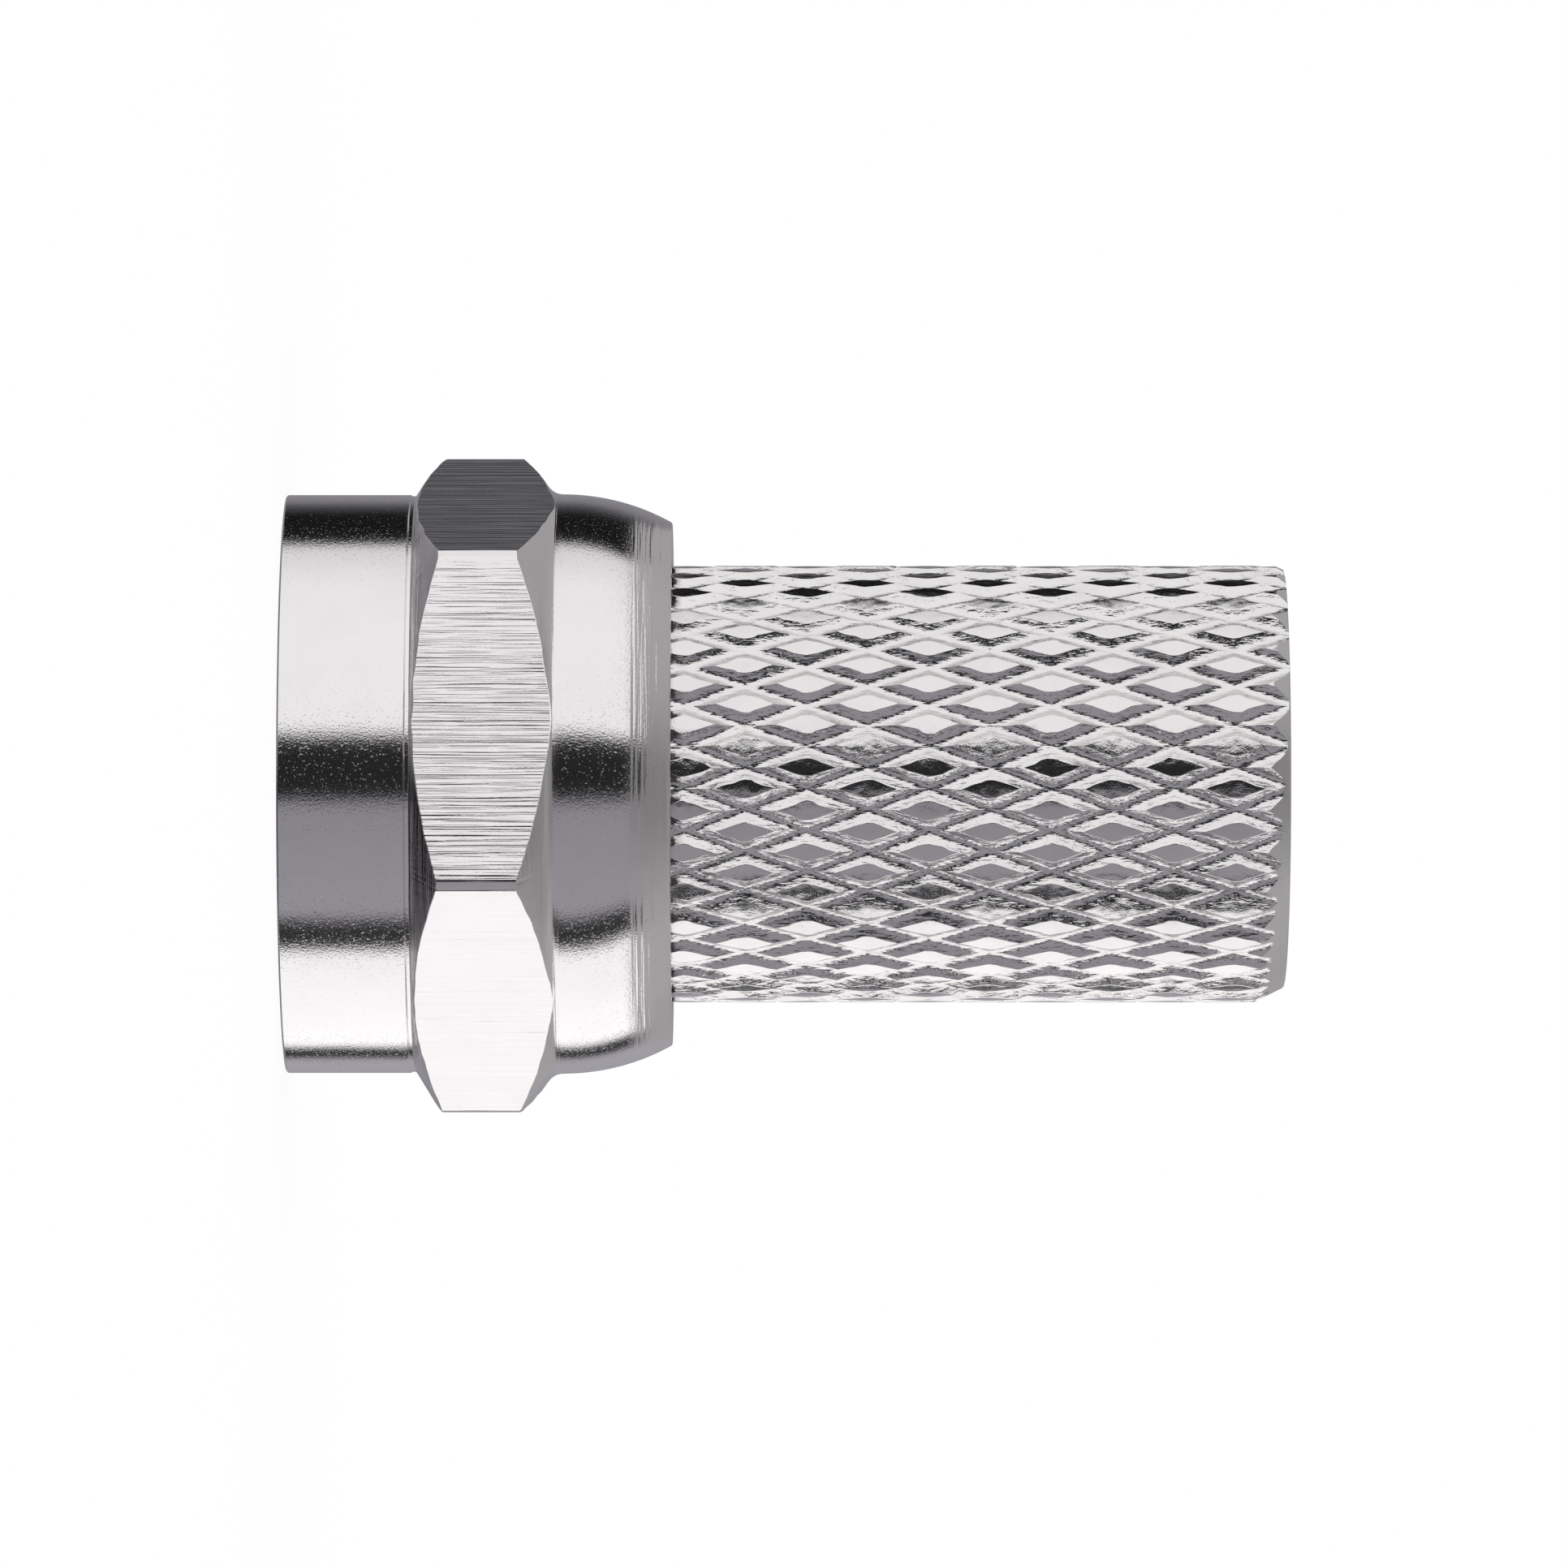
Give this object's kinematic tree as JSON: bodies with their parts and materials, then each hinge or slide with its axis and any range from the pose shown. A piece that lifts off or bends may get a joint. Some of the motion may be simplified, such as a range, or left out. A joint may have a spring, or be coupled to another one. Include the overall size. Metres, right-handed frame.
{
  "type": "twist-on coaxial f connector plug",
  "caption": "Twist-on coaxial plug: a hexagonal coupling nut with a round skirt and rolled collar turns freely on a tubular body with a diamond-knurled sleeve.",
  "frame": {"origin": "centre of the nut's front face, on the axis, at the plane that the plug stands on", "axes": "+Z along the axis from the nut's mouth to the cable end; one flat of the hexagon faces -Y"},
  "size_m": [0.0126, 0.011, 0.0188],
  "materials": {
    "nut_nickel": "bright nickel plating over turned hexagonal bar, fine grain",
    "body_nickel": "bright nickel plating over a rolled diamond knurl"
  },
  "bodies": {
    "connector_body": {"connector_body": "body_nickel"},
    "coupling_nut": {"coupling_nut": "nut_nickel"}
  },
  "joints": [
    {"name": "nut_spin", "type": "hinge", "parent": "connector_body", "child": "coupling_nut", "pos_m": [0, 0, 0.0055], "axis": [0, 0, 1], "continuous": true}
  ]
}
